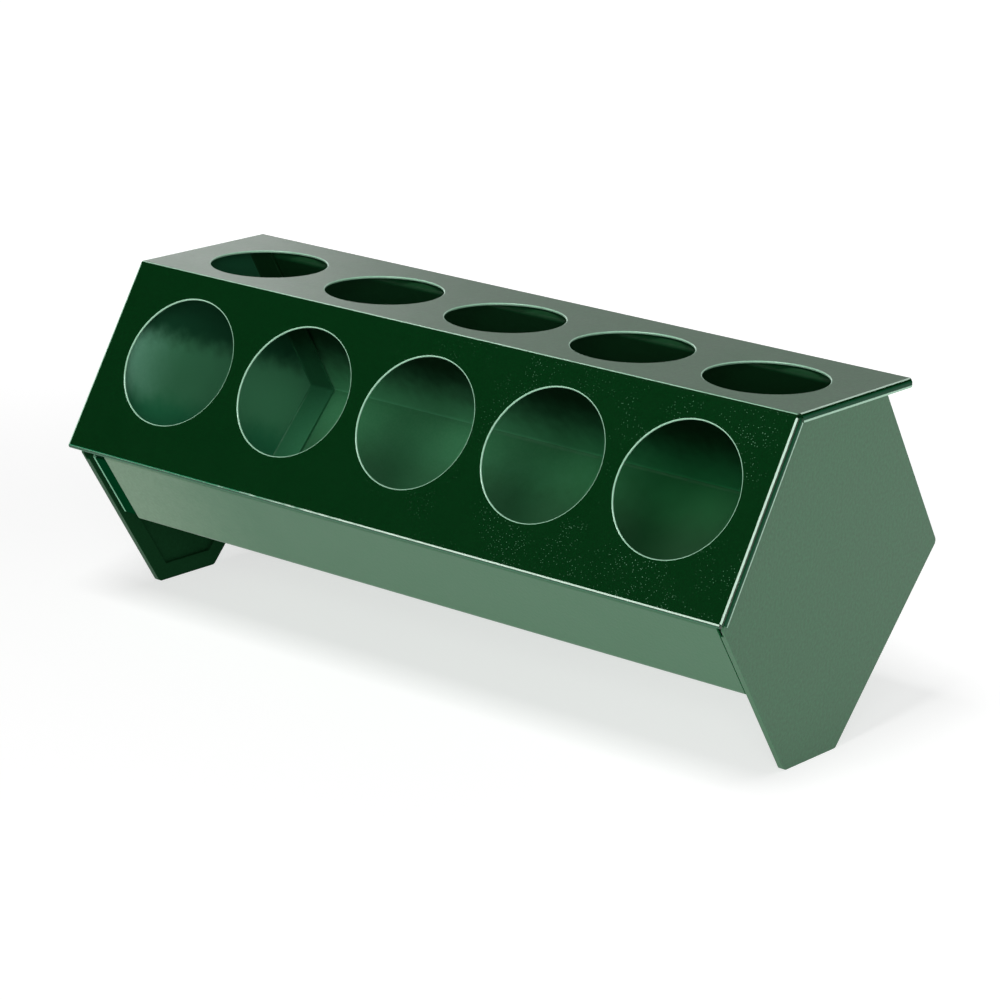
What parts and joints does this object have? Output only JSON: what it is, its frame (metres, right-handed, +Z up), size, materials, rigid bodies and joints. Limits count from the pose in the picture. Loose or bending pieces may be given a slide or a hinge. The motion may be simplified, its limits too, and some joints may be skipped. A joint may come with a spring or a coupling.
{
  "type": "poultry trough feeder",
  "caption": "Sheet-metal poultry feeder: a long trough on hexagonal end plates, with rows of round feed holes in a slide-off lid.",
  "frame": {"origin": "middle of the footprint of the whole object, on the ground that the feet stand on", "axes": "+X along the trough towards the end with the lid's lip, -Y towards the sloping front, +Z up"},
  "size_m": [0.3, 0.1272, 0.125],
  "materials": {
    "lid_paint": "satin dark green powder coat on sheet steel",
    "trough_body_paint": "satin dark green powder coat on sheet steel",
    "left_leg_plate_paint": "satin dark green powder coat on sheet steel",
    "right_leg_plate_paint": "satin dark green powder coat on sheet steel",
    "left_end_pan_paint": "satin dark green powder coat on sheet steel",
    "right_end_pan_paint": "satin dark green powder coat on sheet steel"
  },
  "bodies": {
    "trough": {"trough_body": "trough_body_paint", "left_leg_plate": "left_leg_plate_paint", "right_leg_plate": "right_leg_plate_paint", "left_end_pan": "left_end_pan_paint", "right_end_pan": "right_end_pan_paint"},
    "lid": {"lid": "lid_paint"}
  },
  "joints": [
    {"name": "lid_slide", "type": "slide", "parent": "trough", "child": "lid", "axis": [1, 0, 0], "range_m": [0, 0.31]}
  ]
}
